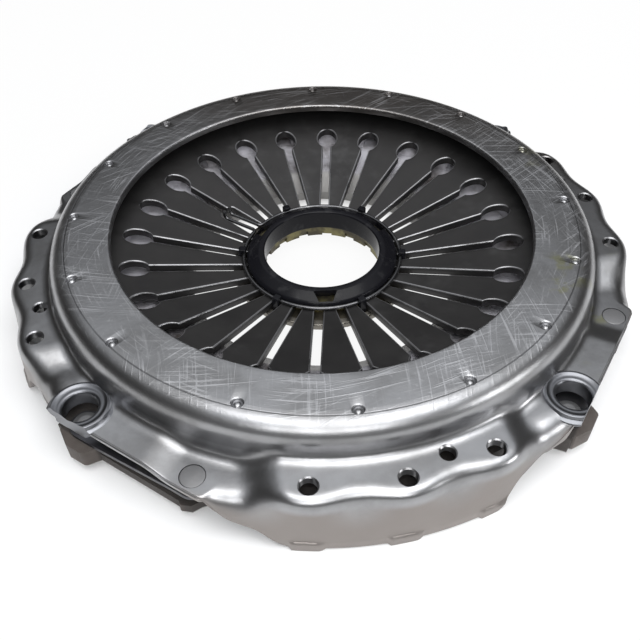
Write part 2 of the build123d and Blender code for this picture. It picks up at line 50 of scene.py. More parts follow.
def smooth(start, end, value):
    # 0 before start, 1 after end, 3t^2 - 2t^3 between them
    t = np.clip((value - start) / (end - start), 0, 1)
    return t * t * (3 - 2 * t)


def between(first, last, f):
    # the share f of the way from first to last
    return first + (last - first) * f


def bend(first, corner, last, steps):
    # the inner points of a quadratic curve, (1-f)^2 a + 2f(1-f) b + f^2 c
    for f in np.linspace(0, 1, steps + 2)[1:-1]:
        yield [(1 - f) ** 2 * a + 2 * f * (1 - f) * b + f * f * c for a, b, c in zip(first, corner, last)]


def roundedPath(corners, radii, steps):
    # straight runs joined by arcs; an arc of radius q leaves its corner's runs at q / tan(half the angle)
    corners = np.array(corners, float)
    path = [corners[0]]
    for before, at, after, radius in zip(corners[:-2], corners[1:-1], corners[2:], radii):
        if radius == 0:
            path.append(at)
            continue
        a, b = before - at, after - at
        a, b = a / np.linalg.norm(a), b / np.linalg.norm(b)
        half = np.arccos(np.clip(a @ b, -1, 1)) / 2
        middle = (a + b) / np.linalg.norm(a + b)
        centre = at + middle * radius / np.sin(half)
        start, sweep = at + a * radius / np.tan(half) - centre, np.pi - 2 * half
        end = at + b * radius / np.tan(half) - centre
        for f in np.linspace(0, 1, steps):
            path.append(centre + (np.sin((1 - f) * sweep) * start + np.sin(f * sweep) * end) / np.sin(sweep))
    path.append(corners[-1])
    return np.array(path)


def turned(x, y, degrees):
    # a point of the plan turned about the axis: x cos - y sin, x sin + y cos
    angle = np.radians(degrees)
    return x * np.cos(angle) - y * np.sin(angle), x * np.sin(angle) + y * np.cos(angle)


def bayPoint(bay, out, across):  # a bay's own place, out from the axis and across the bay's middle line
    return turned(out, across, 45 + 90 * bay)


def gridFaces(rows, columns, wrapRows=False, wrapColumns=False):
    # quads (i, j), (i+1, j), (i+1, j+1), (i, j+1) over the grid, with its ends joined where it wraps
    i, j = np.meshgrid(
        np.arange(rows if wrapRows else rows - 1),
        np.arange(columns if wrapColumns else columns - 1),
        indexing="ij",
    )
    corners = [(i, j), (i + 1, j), (i + 1, j + 1), (i, j + 1)]
    return np.stack([a % rows * columns + b % columns for a, b in corners], -1).reshape(-1, 4).tolist()


def lathe(path, count, centre=(0, 0), closed=False):
    # x = cx + r cos(a), y = cy + r sin(a), z along the path; a closed path makes a ring, an open one gets
    # end caps
    path = np.asarray(path, float)
    a = np.linspace(0, 2 * np.pi, count, endpoint=False)[:, None]
    r, z = path[None, :, 0], path[None, :, 1]
    points = np.stack([centre[0] + r * np.cos(a), centre[1] + r * np.sin(a), z + 0 * a], -1)
    faces = gridFaces(count, len(path), True, closed)
    if not closed:
        first = np.arange(count) * len(path)
        faces += [first[::-1].tolist(), (first + len(path) - 1).tolist()]
    return points.reshape(-1, 3), faces


def prism(outline, low, high):
    # a plan of four corners, repeated at the heights low and high, with two ends and four sides
    points = np.array([(x, y, z) for z in (low, high) for x, y in outline])
    sides = [[k, (k + 1) % 4, (k + 1) % 4 + 4, k + 4] for k in range(4)]
    return points, [[0, 3, 2, 1], [4, 5, 6, 7]] + sides


def joined(parts):
    # several (points, faces) as one
    points, faces, start = [], [], 0
    for p, f in parts:
        points.append(p)
        faces += [[k + start for k in face] for face in f]
        start += len(p)
    return np.concatenate(points), faces


def bayBlocks(outline, low, high):
    # the same prism in each bay, its plan given as places out and across
    return joined([prism([bayPoint(b, *corner) for corner in outline], low, high) for b in bays])


def makeMesh(name, points, faces):
    # millimetres in, metres out; the sum of a . (b x c) over all triangles is six times the volume, and where
    # it is negative every face is turned over
    points = np.asarray(points, float).reshape(-1, 3)
    fans = np.array([(face[0], b, c) for face in faces for b, c in zip(face[1:], face[2:])])
    a, b, c = (points[fans[:, k]] for k in range(3))
    if np.einsum("ij,ij->", a, np.cross(b, c)) < 0:
        faces = [face[::-1] for face in faces]
    mesh = bpy.data.meshes.new(name)
    mesh.from_pydata((points * mm).tolist(), [], faces)
    mesh.update()
    return mesh


def cutMesh(mesh, cutter):  # mesh minus cutter, both closed
    work, tool = (bpy.data.objects.new(m.name, m) for m in (mesh, cutter))
    for each in (work, tool):
        bpy.context.scene.collection.objects.link(each)
    cut = work.modifiers.new("cut", "BOOLEAN")
    cut.operation, cut.object, cut.solver = "DIFFERENCE", tool, "MANIFOLD"
    done = bpy.data.meshes.new_from_object(work.evaluated_get(bpy.context.evaluated_depsgraph_get()))
    for each in (work, tool):
        bpy.data.objects.remove(each)
    return done


def cadCopy(name, merge=1e-6, flat=0.4):
    # a CAD node's mesh: points within merge metres become one, and faces that meet at less than flat degrees
    # are joined
    mesh = nodes[name].data.copy()
    work = bmesh.new()
    work.from_mesh(mesh)
    bmesh.ops.remove_doubles(work, verts=work.verts, dist=merge)
    bmesh.ops.dissolve_limit(work, angle_limit=np.radians(flat), verts=work.verts, edges=work.edges)
    work.to_mesh(mesh)
    work.free()
    return mesh


class Value:
    # a node's output; sums and products of values are written plainly and become Math nodes
    def __init__(self, graph, socket):
        self.graph, self.socket = graph, socket

    def maths(self, operation, *values):
        return self.graph.node("Math", {"operation": operation}, values)

    def __add__(self, other):
        return self.maths("ADD", self, other)

    def __radd__(self, other):
        return self.maths("ADD", other, self)

    def __sub__(self, other):
        return self.maths("SUBTRACT", self, other)

    def __rsub__(self, other):
        return self.maths("SUBTRACT", other, self)

    def __mul__(self, other):
        return self.maths("MULTIPLY", self, other)

    def __rmul__(self, other):
        return self.maths("MULTIPLY", other, self)

    def __pow__(self, other):
        return self.maths("POWER", self, other)

    def __abs__(self):
        return self.maths("ABSOLUTE", self)

    def cosine(self):
        return self.maths("COSINE", self)

    def atMost(self, other):
        return self.maths("MINIMUM", self, other)

    def orMore(self, other):  # whichever of the two is larger
        return self.maths("MAXIMUM", self, other)


def length(x, y):
    # the square root of x^2 + y^2
    return (x * x + y * y) ** 0.5


def bearing(y, x):  # the angle of the direction (x, y), in radians
    return y.maths("ARCTAN2", y, x)


class Graph:
    # a node tree; node() makes any node from its type, its settings and its sockets' values or links
    def __init__(self, tree):
        self.tree = tree

    def node(self, kind, settings, sockets, output=0):
        made = self.tree.nodes.new("ShaderNode" + kind)
        for key, value in settings.items():
            setattr(made, key, value)
        for key, value in sockets.items() if isinstance(sockets, dict) else enumerate(sockets):
            self.put(made.inputs[key], value)
        return Value(self, made.outputs[output])

    def put(self, socket, value):
        if isinstance(value, Value):
            self.tree.links.new(value.socket, socket)
        else:
            socket.default_value = value

    def seen(self):  # 1 for camera, glossy and transmission rays, 0 for the rest
        camera, glossy, clear = (
            self.node("LightPath", {}, {}, f"Is {kind} Ray") for kind in ("Camera", "Glossy", "Transmission"))
        return camera.orMore(glossy).orMore(clear)


class Finish(Graph):
    # one material; its shader's sockets go by these short names
    names = dict(color="Base Color", roughness="Roughness", metallic="Metallic",
                 specular="Specular IOR Level", normal="Normal")

    def __init__(self, name, **sockets):
        self.material = bpy.data.materials.new(name)
        self.material.use_nodes = True
        super().__init__(self.material.node_tree)
        self.shader = self.tree.nodes["Principled BSDF"]
        self.place = self.node("TexCoord", {}, {}, "Object")
        for key, value in sockets.items():
            self.feed(key, value)

    def feed(self, key, value):
        value = (*value, 1) if isinstance(value, tuple) else value
        self.put(self.shader.inputs[self.names[key]], value)

    def surface(self, value):  # what reaches the material's output
        self.put(self.tree.nodes["Material Output"].inputs["Surface"], value)

    def noise(self, scale, detail=3.0, roughness=0.5, place=None):
        sockets = {"Vector": place or self.place, "Scale": scale, "Detail": detail, "Roughness": roughness}
        return self.node("TexNoise", {}, sockets)

    def ramp(self, value, low, high):  # smooth rise from 0 at low to 1 at high
        sockets = {"Value": value, "From Min": low, "From Max": high}
        return self.node("MapRange", {"interpolation_type": "SMOOTHSTEP"}, sockets)

    def mix(self, factor, first, second):
        colours = [(*c, 1) if isinstance(c, tuple) else c for c in (first, second)]
        return self.node("Mix", {"data_type": "RGBA"}, {0: factor, 6: colours[0], 7: colours[1]}, 2)

    def bump(self, height, distance, strength):
        sockets = {"Height": height, "Distance": distance, "Strength": strength}
        self.feed("normal", self.node("Bump", {}, sockets))

    def parts(self):  # x, y and z of the point, in metres
        return [self.node("SeparateXYZ", {}, {0: self.place}, k) for k in range(3)]

    def along(self, *coordinates):  # three values as one vector
        return self.node("CombineXYZ", {}, coordinates)


# finishes: colours are linear, places and heights are in metres, and a pair is where a ramp starts and ends
def coverSteel():
    # a stroke is noise read at (distance * narrow, angle * long) about a centre, so it runs along an arc;
    # patches of wider noise and the crown's height let it through
    look = dict(
        steel=(0.4, 0.403, 0.415), dark=(0.28, 0.28, 0.284), rubbed=(0.8, 0.81, 0.84),
        # paintedShade: painted shade at the wall's foot and along the crease
        warm=(0.3, 0.275, 0.26), olive=(0.36, 0.36, 0.18), paintedShade=(0.13, 0.13, 0.135),
        # brown: painted shade with a brownish tint on the far side
        brown=(0.15, 0.125, 0.105),
        # skirtRadius and skirtHeight bound the skirt's painted shade
        mottle=(0.35, 0.7), crown=(0.0685, 0.0703), skirtRadius=(0.2325, 0.2385), skirtHeight=(0.04, 0.033),
        centres=((0.27, -0.22, 640, 5.2), (-0.3, -0.12, 560, 6.0), (-0.02, 0.36, 700, 6.8),
                 (0.05, -0.42, 600, 4.8), (0.0, 0.0, 620, 4.0)),  # x, y, narrow, long
        strokes=(0.55, 0.7), patches=(0.42, 0.62), scratches=(0.62, 0.74), scratchStrength=0.35,
        rubShare=0.42, rubLess=0.2,  # less outside the crease
        crease=0.1925, creaseHalf=0.0002, creaseFade=0.0007, creaseBreak=(0.3, 0.45), creaseShare=0.75,
        outsideFade=0.001, stains=(0.62, 0.7), stainSide=(0.09, 0.17), stainStrength=0.3,
        smears=((0.155, -0.096, 0.014), (0.141, -0.117, 0.012), (0.157, -0.11, 0.014),
                (0.178, -0.121, 0.012)),  # x, y and radius
        smearWander=0.03, smearFull=0.3, smearBreak=(0.45, 0.62), smearStrength=0.6,
        farAcross=0.35, farOut=0.94, farFade=(0.06, 0.2), farShadeShare=0.7,
        hollowInner=(0.203, 0.2055), hollowOuter=(0.216, 0.209), hollowTop=(0.064, 0.054),
        hollowBottom=(0.0475, 0.05), wallFootShadeShare=0.35,
        roughness=0.35, roughMottle=0.16, roughRub=0.1, roughSkirt=0.12, smoothWall=0.03,
        dents=0.7, grain=0.18, raisedRub=0.3, sunkCrease=0.8,
    )
    f = Finish("coverSteel", metallic=1.0)
    x, y, z = f.parts()
    r = length(x, y)
    mottle = f.noise(22, 5, 0.6)
    top = f.ramp(z, *look["crown"])
    rub = 0.0
    for k, (cx, cy, narrow, long) in enumerate(look["centres"]):  # each reads another part of the noise
        dx, dy = x - cx, y - cy
        stroke = f.noise(1, 2, 0.6, f.along(length(dx, dy) * narrow, bearing(dy, dx) * long, 3.7 * k))
        patch = f.ramp(f.noise(15 + 3 * k, 2, 0.5, f.along(x + 0.3 * k, y, 0.1 * k)), *look["patches"])
        rub = f.ramp(stroke, *look["strokes"]) * patch + rub
    scratches = f.ramp(f.noise(260, 2, 0.6), *look["scratches"]) * look["scratchStrength"]
    rub = (rub + scratches).atMost(1.0) * top
    outside = f.ramp(r, look["crease"], look["crease"] + look["outsideFade"])
    # painted shade: a dark line along the crease where the crown's flat begins to fall, also sunk by the bump
    half, fade = look["creaseHalf"], look["creaseFade"]
    inner = f.ramp(r, look["crease"] - fade, look["crease"] - half)
    outer = f.ramp(r, look["crease"] + half, look["crease"] + fade)
    crease = f.ramp(inner - outer, 0.1, 0.9) * top * f.ramp(f.noise(7, 3), *look["creaseBreak"])
    # painted shade with a warm tint: the skirt is mixed toward a darker, warmer tone than the crown
    skirt = f.ramp(r, *look["skirtRadius"]) * f.ramp(z, *look["skirtHeight"])
    stains = f.ramp(f.noise(18, 4, 0.6), *look["stains"])
    stains = stains * f.ramp(x, *look["stainSide"]) * look["stainStrength"]
    for sx, sy, size in look["smears"]:
        away = length(x - sx, y - sy) + (mottle - 0.5) * look["smearWander"]
        broken = f.ramp(f.noise(90, 3, 0.6), *look["smearBreak"])
        stains = stains.orMore(f.ramp(away, size, size * look["smearFull"]) * broken * look["smearStrength"])
    # painted shade: the wall just above its foot is mixed toward the dark paintedShade tone
    hollow = f.ramp(r, *look["hollowInner"]) * f.ramp(r, *look["hollowOuter"])
    hollow = hollow * f.ramp(z, *look["hollowTop"]) * f.ramp(z, *look["hollowBottom"])
    # painted shade with a brownish tint: the far side of the cover is mixed toward a darker brown
    far = f.ramp(x * look["farAcross"] + y * look["farOut"], *look["farFade"])
    colour = f.mix(f.ramp(mottle, *look["mottle"]), look["steel"], look["dark"])
    for share, tone in (
        (far * look["farShadeShare"], "brown"), (rub * (look["rubShare"] - outside * look["rubLess"]), "rubbed"),
        (hollow * look["wallFootShadeShare"], "paintedShade"), (skirt, "warm"), (stains, "olive"),
        (crease * look["creaseShare"], "paintedShade"),
    ):
        colour = f.mix(share, colour, look[tone])
    f.feed("color", colour)
    rough = look["roughness"] + (mottle - 0.5) * look["roughMottle"] + rub * look["roughRub"]
    f.feed("roughness", rough + skirt * look["roughSkirt"] - (1 - top) * look["smoothWall"])
    relief = f.noise(95, 3, 0.55) * look["dents"] + f.noise(420, 2, 0.6) * look["grain"]
    f.bump(relief + rub * look["raisedRub"] - crease * look["sunkCrease"], 0.0006, 0.35)
    return f.material


def springSteel():  # dark steel with dusty scuffs, paler on the upper bevels that the mesh marks: partly worn bare edge, partly painted highlight
    look = dict(
        black=(0.04, 0.039, 0.04), grey=(0.062, 0.06, 0.059), dust=(0.13, 0.13, 0.13), edge=(0.3, 0.3, 0.31),
        scuffs=(0.56, 0.72), scuffBreak=(0.4, 0.6), scuffShare=0.55, edgeBreak=(0.25, 0.5),
        roughness=0.44, roughMottle=0.3, smoothScuff=0.06, smoothEdge=0.14,
    )
    f = Finish("springSteel", metallic=0.75)
    mottle = f.noise(30, 5, 0.62)
    edge = f.node("Attribute", {"attribute_name": "edge"}, {}, 2)
    scuff = f.ramp(f.noise(9, 4, 0.7), *look["scuffs"]) * f.ramp(mottle, *look["scuffBreak"])
    colour = f.mix(scuff * look["scuffShare"], f.mix(mottle, look["black"], look["grey"]), look["dust"])
    # the marked bevels are painted pale: partly worn bare steel, partly a painted highlight
    f.feed("color", f.mix(edge * f.ramp(mottle, *look["edgeBreak"]), colour, look["edge"]))
    rough = look["roughness"] + (mottle - 0.5) * look["roughMottle"]
    f.feed("roughness", rough - scuff * look["smoothScuff"] - edge * look["smoothEdge"])
    f.bump(f.noise(260, 3, 0.6) + mottle, 0.0003, 0.3)
    return f.material


def castPlate():
    # sandy casting, turned in the bore and on the friction face, with painted shade on its flange beneath the
    # bays and painted light in pale, bluish patches further in; the distance out along a bay's middle line is
    # (|x| + |y|) / sqrt(2)
    look = dict(
        brown=(0.075, 0.062, 0.055), tan=(0.13, 0.115, 0.105), shade=(0.03, 0.026, 0.024),
        paintedLight=(0.62, 0.61, 0.66), bright=(0.45, 0.44, 0.43), blotches=(0.35, 0.65), shadeShare=0.7,
        bore=(0.122, 0.118), face=(0.0082, 0.0074), flangeEdge=(0.2315, 0.2295), flangeInner=(0.19, 0.2),
        paintedLightRadius=(0.185, 0.165), paintedLightBreak=(0.3, 0.6), toolMarks=2600.0, markDepth=0.3,
        roughness=0.72, smoothTurned=0.3, roughSand=0.2,
    )
    f = Finish("castPlate", metallic=0.1)
    x, y, z = f.parts()
    r = length(x, y)
    sand = f.noise(500, 4, 0.7)
    blotch = f.noise(24, 4, 0.6)
    machined = f.ramp(r, *look["bore"]).orMore(f.ramp(z, *look["face"]))
    out = (abs(x) + abs(y)) * 0.7071
    # painted shade: the flange beneath the bays is mixed toward the dark shade tone
    flange = f.ramp(out, *look["flangeEdge"]) * f.ramp(r, *look["flangeInner"])
    # painted light: pale, bluish patches on the plate further in, broken by the blotches
    paintedLight = f.ramp(r, *look["paintedLightRadius"]) * f.ramp(blotch, *look["paintedLightBreak"])
    cast = f.mix(f.ramp(blotch, *look["blotches"]), look["brown"], look["tan"])
    cast = f.mix(flange * look["shadeShare"], cast, look["shade"])
    cast = f.mix(paintedLight, cast, look["paintedLight"])
    f.feed("color", f.mix(machined, cast, look["bright"]))
    rings = f.noise(1, 2, 0.5, f.along(r * look["toolMarks"], z * look["toolMarks"], 0.0))
    rough = look["roughness"] - machined * look["smoothTurned"]
    f.feed("roughness", rough + (sand - 0.5) * look["roughSand"])
    f.bump((1 - machined) * sand + machined * rings * look["markDepth"], 0.0006, 0.6)
    return f.material


def plainSteel(name, colour, worn, roughness, metallic, scale):  # mottled, with paler worn patches
    look = dict(patchScale=0.45, patches=(0.52, 0.7), wornShare=0.6, roughMottle=0.2, grainScale=7)
    f = Finish(name, metallic=metallic)
    mottle = f.noise(scale, 5, 0.6)
    wear = f.ramp(f.noise(scale * look["patchScale"], 4, 0.65), *look["patches"])
    f.feed("color", f.mix(wear * look["wornShare"], colour, worn))
    f.feed("roughness", roughness + (mottle - 0.5) * look["roughMottle"])
    f.bump(f.noise(scale * look["grainScale"], 3, 0.6), 0.0002, 0.3)
    return f.material


def hubSteel():  # olive and dark patches inside the hub, a brighter rim on its flange
    look = dict(
        olive=(0.2, 0.18, 0.09), dark=(0.07, 0.062, 0.045), flange=(0.09, 0.08, 0.06),
        bright=(0.24, 0.225, 0.2), flangeInner=(0.0572, 0.0585), rim=(0.0655, 0.0675), patches=(0.42, 0.6),
        roughness=0.4, roughMottle=0.25,
    )
    f = Finish("hubSteel", metallic=0.85)
    x, y, z = f.parts()
    r = length(x, y)
    band = f.mix(f.ramp(f.noise(45, 3, 0.6), *look["patches"]), look["dark"], look["olive"])
    flange = f.mix(f.ramp(r, *look["rim"]), look["flange"], look["bright"])
    f.feed("color", f.mix(f.ramp(r, *look["flangeInner"]), band, flange))
    f.feed("roughness", look["roughness"] + (f.noise(70, 4, 0.6) - 0.5) * look["roughMottle"])
    f.bump(f.noise(600, 3), 0.0002, 0.3)
    return f.material


def blackGloss():  # glossy black coating with long, shallow waves
    look = dict(black=(0.007, 0.007, 0.009), dust=(0.018, 0.018, 0.02), specks=(0.55, 0.7),
                roughness=0.2, roughMottle=0.1)
    f = Finish("blackGloss", metallic=0.0, specular=0.15)
    f.feed("color", f.mix(f.ramp(f.noise(120, 3), *look["specks"]), look["black"], look["dust"]))
    f.feed("roughness", look["roughness"] + (f.noise(200, 2) - 0.5) * look["roughMottle"])
    f.bump(f.noise(45, 2, 0.4), 0.0004, 0.25)
    return f.material


steel = {  # colour, worn colour, roughness, metallic and scale of the plain steels
    # the collar's colours are a darker, bluish copy of the cover's steel: painted shade
    "collar": ((0.2, 0.205, 0.22), (0.32, 0.325, 0.34), 0.34, 1.0, 40.0),
    "rivet": ((0.22, 0.22, 0.225), (0.3, 0.3, 0.3), 0.55, 0.8, 60.0),
    "strap": ((0.1, 0.1, 0.11), (0.22, 0.21, 0.2), 0.42, 0.95, 60.0),
    "wire": ((0.12, 0.12, 0.125), (0.3, 0.3, 0.3), 0.25, 0.95, 120.0),
}
finishes = {  # each with the slot of the record that it stands for
    "cover": (coverSteel(), "cover_steel"),
    "spring": (springSteel(), "spring_steel"),
    "plate": (castPlate(), "cast_plate"),
    "collar": (plainSteel("collarShadedSteel", *steel["collar"]), "cover_steel"),
    "rivet": (plainSteel("rivetSteel", *steel["rivet"]), "rivet_steel"),
    "strap": (plainSteel("strapSteel", *steel["strap"]), "strap_steel"),
    "hub": (hubSteel(), "hub_steel"),
    "black": (blackGloss(), "black_ring"),
    "wire": (plainSteel("wireSteel", *steel["wire"]), "wire_steel"),
}
print("finishes made")


def addPiece(name, mesh, finish, body, node, sharp):
    # body is None for a piece that is attached to no body, node is the CAD node that it stands for or None,
    # and edges of more than sharp degrees stay crisp
    material, slot = finishes[finish]
    mesh.name = name
    mesh.shade_smooth()
    mesh.set_sharp_from_angle(angle=np.radians(sharp))
    mesh.materials.clear()
    mesh.materials.append(material)
    piece = bpy.data.objects.new(name, mesh)
    bpy.context.scene.collection.objects.link(piece)
    if body:
        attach(piece, body)
    if node:
        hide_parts(node)
    return piece


# cover: one closed section per angle, from the crown's lip over the shoulder, down the wall, over pad or bay
# to the skirt, and back underneath; a Span, Ramp, Rise or Fall is where a change starts and ends
coverShape = dict(
    around=720, sheet=6.0, lip=159.5, lipRound=1.6, lipDrop=3.0, crown=71.5, crownRings=(164, 168, 172, 176),
    fold=189.5, foldRound=8.0, fall=1.2, corner=204.5, shoulder=14.0, foot=206.5, footHeight=47.0,
    wallRun=16.0, wallBend=7.5, wallInside=2.3, hollow=4.0, hollowLip=0.8,
    pad=47.0, leftRamp=(89, 67), rightRamp=(99, 70), plateau=41.0, swell=42.6, swellSpan=(-48, -63),
    groove=41.0, grooveSpan=(104, 80), seat=36.5, stepSpan=(12, 35), stepSlant=0.15, stepLine=222.0,
    bayEdge=231.0, edgeBend=1.0, edgeFlat=0.4, edgeRound=0.6, skirt=240.0, skirtSpan=(57, 66), skirtBend=8.5,
    innerRoll=1.5, rimBlend=3.0, draft=2.4, bulgeBend=(15.0, 12.0), bulgeRise=(60, 72), bulgeFall=(84, 100),
    fluteDepth=5.4, fluteTurn=15.0, fluteSpan=(52, 66), feetTurn=-0.9, feetPitch=14.5, feetHalf=10.25,
    feetSoft=0.7, feetStep=1.4, feetHeight=7.5, feetTop=(7.0, 7.7), edgeLift=1.2,
    edgeAcross=(-170, -119, -117, -111, -100, -92, -80, -73, -68, -62,
                62, 64, 71, 82, 91, 100.6, 107.8, 110, 170),  # the skirt's cut edge, and its height there
    edgeHeight=(0, 0, 6, 20.6, 24.0, 26.8, 27.8, 31.3, 34, 34.5, 30, 29.5, 20.6, 16.0, 14.3, 6.3, 0, 0, 0),
    wallRows=(0.2, 0.4, 0.6, 0.8, 1.0), floorRows=10, edgeRows=(0.12, 0.88),
    insideRows=(0, 0.2, 0.5, 0.8, 1.0), underRows=9, innerRows=(0, 0.5, 1),
    skirtRows=(0, 0.12, 0.25, 0.38, 0.5, 0.62, 0.74, 0.79, 0.812, 0.835, 0.88, 0.94, 1.0),
)


def bayFloor(r, phi):
    # height over the plan: floor = plateau + swell + groove + step to the rivet seat, and
    # h = floor + (pad - floor) * ramp, where the ramps run along lines at a distance
    # (out - |across|) / sqrt(2) from the next pad's middle
    c = coverShape
    across, out = r * np.sin(phi), r * np.cos(phi)
    padSide = (out - np.abs(across)) / np.sqrt(2)
    slanted = across - c["stepSlant"] * (out - c["stepLine"])
    left = smooth(*c["swellSpan"], across)
    floor = c["plateau"] + (c["swell"] - c["plateau"]) * left
    floor = floor + (c["groove"] - c["swell"]) * left * smooth(*c["grooveSpan"], padSide)
    floor = floor + (c["seat"] - c["plateau"]) * smooth(*c["stepSpan"], slanted)
    ramp = np.where(across < 0, smooth(*c["leftRamp"], padSide), smooth(*c["rightRamp"], padSide))
    return between(floor, c["pad"], ramp)


def coverSkin():
    # rows of stations (radius, height), each an array over theta; phi is the angle from the bay's middle and
    # padTurn the angle from the pad's; x = r cos(theta), y = r sin(theta)
    c = coverShape
    s = c["sheet"]
    theta = np.linspace(0, 2 * np.pi, c["around"], endpoint=False)[:, None]
    phi = np.mod(theta, np.pi / 2) - np.pi / 4
    padTurn = np.mod(theta + np.pi / 4, np.pi / 2) - np.pi / 4
    one = np.ones_like(theta)
    rows = []

    # the rim in plan: the lesser of the skirt's circle and the bay's straight edge, blended; flutes and feet
    chord = c["bayEdge"] / np.cos(phi)
    rim = (c["skirt"] + chord - np.sqrt((c["skirt"] - chord) ** 2 + c["rimBlend"] ** 2)) / 2
    across = rim * np.sin(phi)
    skirted = smooth(*c["skirtSpan"], np.abs(across))
    wave = (1 - np.cos(2 * np.pi * padTurn / np.radians(c["fluteTurn"]))) / 2
    wave = wave * smooth(*c["fluteSpan"], np.abs(across))
    spacing = np.radians(c["feetPitch"])
    footTurn = padTurn - np.radians(c["feetTurn"])
    footGap = np.abs(footTurn - np.clip(np.round(footTurn / spacing), -1, 1) * spacing) * c["skirt"]
    foot = 1 - smooth(c["feetHalf"] - c["feetSoft"], c["feetHalf"] + c["feetSoft"], footGap)
    edge = np.interp(c["skirt"] * np.sin(phi), c["edgeAcross"], c["edgeHeight"])
    edge = sum(np.roll(edge, k, 0) for k in range(-2, 3)) / 5 + c["edgeLift"] * (1 - foot)

    def rimAt(z):  # flutes and draft fade out from the pad's height down to the feet
        fade = np.clip((z - c["feetHeight"]) / (c["pad"] - c["feetHeight"]), 0, 1)
        return rim - (c["fluteDepth"] * wave + c["draft"] * skirted) * fade

    def outside(z):  # the feet stand out below their ledge
        return rimAt(z) + c["feetStep"] * foot * (1 - smooth(*c["feetTop"], z))

    def inside(z):
        return rimAt(z) - s * skirted

    # crown, shoulder and wall
    lean = (c["foot"] - c["corner"]) / (c["crown"] - c["footHeight"])
    top = c["crown"] - c["fall"]
    outer = roundedPath(
        [(c["lip"], c["crown"] - c["lipDrop"]), (c["lip"], c["crown"]), (c["fold"], c["crown"]),
         (c["corner"], top), (c["corner"] + lean * c["wallRun"], top - c["wallRun"])],
        [c["lipRound"], c["foldRound"], c["shoulder"]], steps=8)
    crownRings = [(r, c["crown"]) for r in c["crownRings"]]  # on the flat, after the lip's eight arc points
    outer = np.array([*outer[1:9], *crownRings, *outer[9:-1]])
    rows += [(r * one, z * one) for r, z in outer]
    footOut = c["corner"] + lean * (top - bayFloor(c["foot"] + 1, phi))
    footZ = bayFloor(footOut, phi)  # where the wall's line meets the floor
    bendStart = (footOut - lean * c["wallBend"], footZ + c["wallBend"])
    for f in c["wallRows"]:
        rows.append([between(a, b, f) for a, b in zip(outer[-1], bendStart)])

    # pad or bay floor, then the roll over its rim
    floorIn = footOut + c["wallBend"]
    rows += bend(bendStart, (footOut, footZ), (floorIn, bayFloor(floorIn, phi)), steps=4)
    bulge = smooth(*c["bulgeRise"], np.abs(across)) * (1 - smooth(*c["bulgeFall"], np.abs(across)))
    bulgeBend = np.where(across < 0, *c["bulgeBend"])
    roll = between(c["edgeBend"], c["skirtBend"], skirted) + (bulgeBend - c["skirtBend"]) * bulge
    rimTop = rimAt(c["pad"] * one)
    rimZ = bayFloor(rimTop, phi)
    floorOut, rollEnd = rimTop - roll, rimZ - roll
    for f in np.linspace(0, 1, c["floorRows"]):
        r = between(floorIn, floorOut, f)
        rows.append((r, bayFloor(r, phi)))
    rows += bend((floorOut, bayFloor(floorOut, phi)), (rimTop, rimZ), (rimAt(rollEnd), rollEnd), steps=6)

    # skirt down to its cut edge, round the edge and up inside; in the bays the sheet's own edge
    outEnd = skirted * edge + (1 - skirted) * (rimZ - c["edgeBend"] - c["edgeFlat"])
    inEnd = skirted * edge + (1 - skirted) * (rimZ - s + c["edgeBend"] + c["edgeFlat"])
    for f in c["skirtRows"]:
        z = between(rollEnd, outEnd, f)
        rows.append((outside(z), z))
    for f in c["edgeRows"]:
        z = between(outEnd, inEnd, f)
        r = between(outside(z), inside(z), f)
        rows.append((r + (1 - skirted) * c["edgeRound"], z - skirted * c["edgeRound"]))
    under = rimZ - s
    innerStart = under + (1 - skirted) * c["edgeBend"] - skirted * c["innerRoll"]
    for f in c["insideRows"]:
        z = between(inEnd, innerStart, f)
        rows.append((inside(z), z))

    # underside of the floor and inside of the wall, back to the crown's lip
    wall = c["wallInside"]
    innerRim = inside(innerStart)
    innerFloor = innerRim - c["innerRoll"]
    floorEnd = footOut - wall + c["wallBend"] + s
    innerEnd = (innerFloor, bayFloor(innerFloor, phi) - s)
    rows += bend((innerRim, innerStart), (innerRim, under), innerEnd, steps=2)
    for f in np.linspace(0, 1, c["underRows"]):
        r = between(innerFloor, floorEnd, f)
        rows.append((r, bayFloor(r, phi) - s))
    innerTop = (footOut - wall - lean * (c["wallBend"] + s), footZ + c["wallBend"])
    rows += bend((floorEnd, bayFloor(floorEnd, phi) - s), (footOut - wall, footZ - s), innerTop, steps=4)
    inner = roundedPath(
        [(c["corner"] - wall + lean * c["wallRun"], c["crown"] - s - c["wallRun"]),
         (c["corner"] - wall, c["crown"] - s), (c["lip"], c["crown"] - s),
         (c["lip"], c["crown"] - c["lipDrop"])], [c["hollow"], c["hollowLip"]], steps=4)
    for f in c["innerRows"]:
        rows.append([between(a, b, f) for a, b in zip(innerTop, inner[1])])
    rows += [(r * one, z * one) for r, z in inner[2:]]
    r, z = (np.concatenate([np.broadcast_to(row[k], theta.shape) for row in rows], 1) for k in range(2))
    points = np.stack([r * np.cos(theta), r * np.sin(theta), z], -1)
    return points, gridFaces(len(theta), len(rows), True, True)


holes = dict(
    sides=40, boltCircle=225.0, boltTurns=(-15, 0, 15), bolt=5.75, dowelCircle=216.2, dowelTurn=7.5,
    dowel=5.0, chamfer=0.8, below=14.0, above=9.0, past=0.2,  # how far a cutter reaches past the face
    rivetLine=220.4, rivetHalf=45.5, headSeat=8.45, headDepth=2.6, headTop=44.0,
    access=15.0, accessLow=30.0, accessHigh=55.0,
    stakes=16, stakeSides=28, stakeTurn=22.0, stakeStart=-118.4, stakeCircle=189.5,
    punch=((0.3, -0.9), (1.3, -1.05), (2.1, -1.6), (2.6, -2.3), (3.0, -2.5), (3.4, -2.0),
           (3.6, -0.6), (4.1, -0.15), (4.7, 0.1), (4.7, 4.0)),  # a stake mark: radius, height from the crown
)


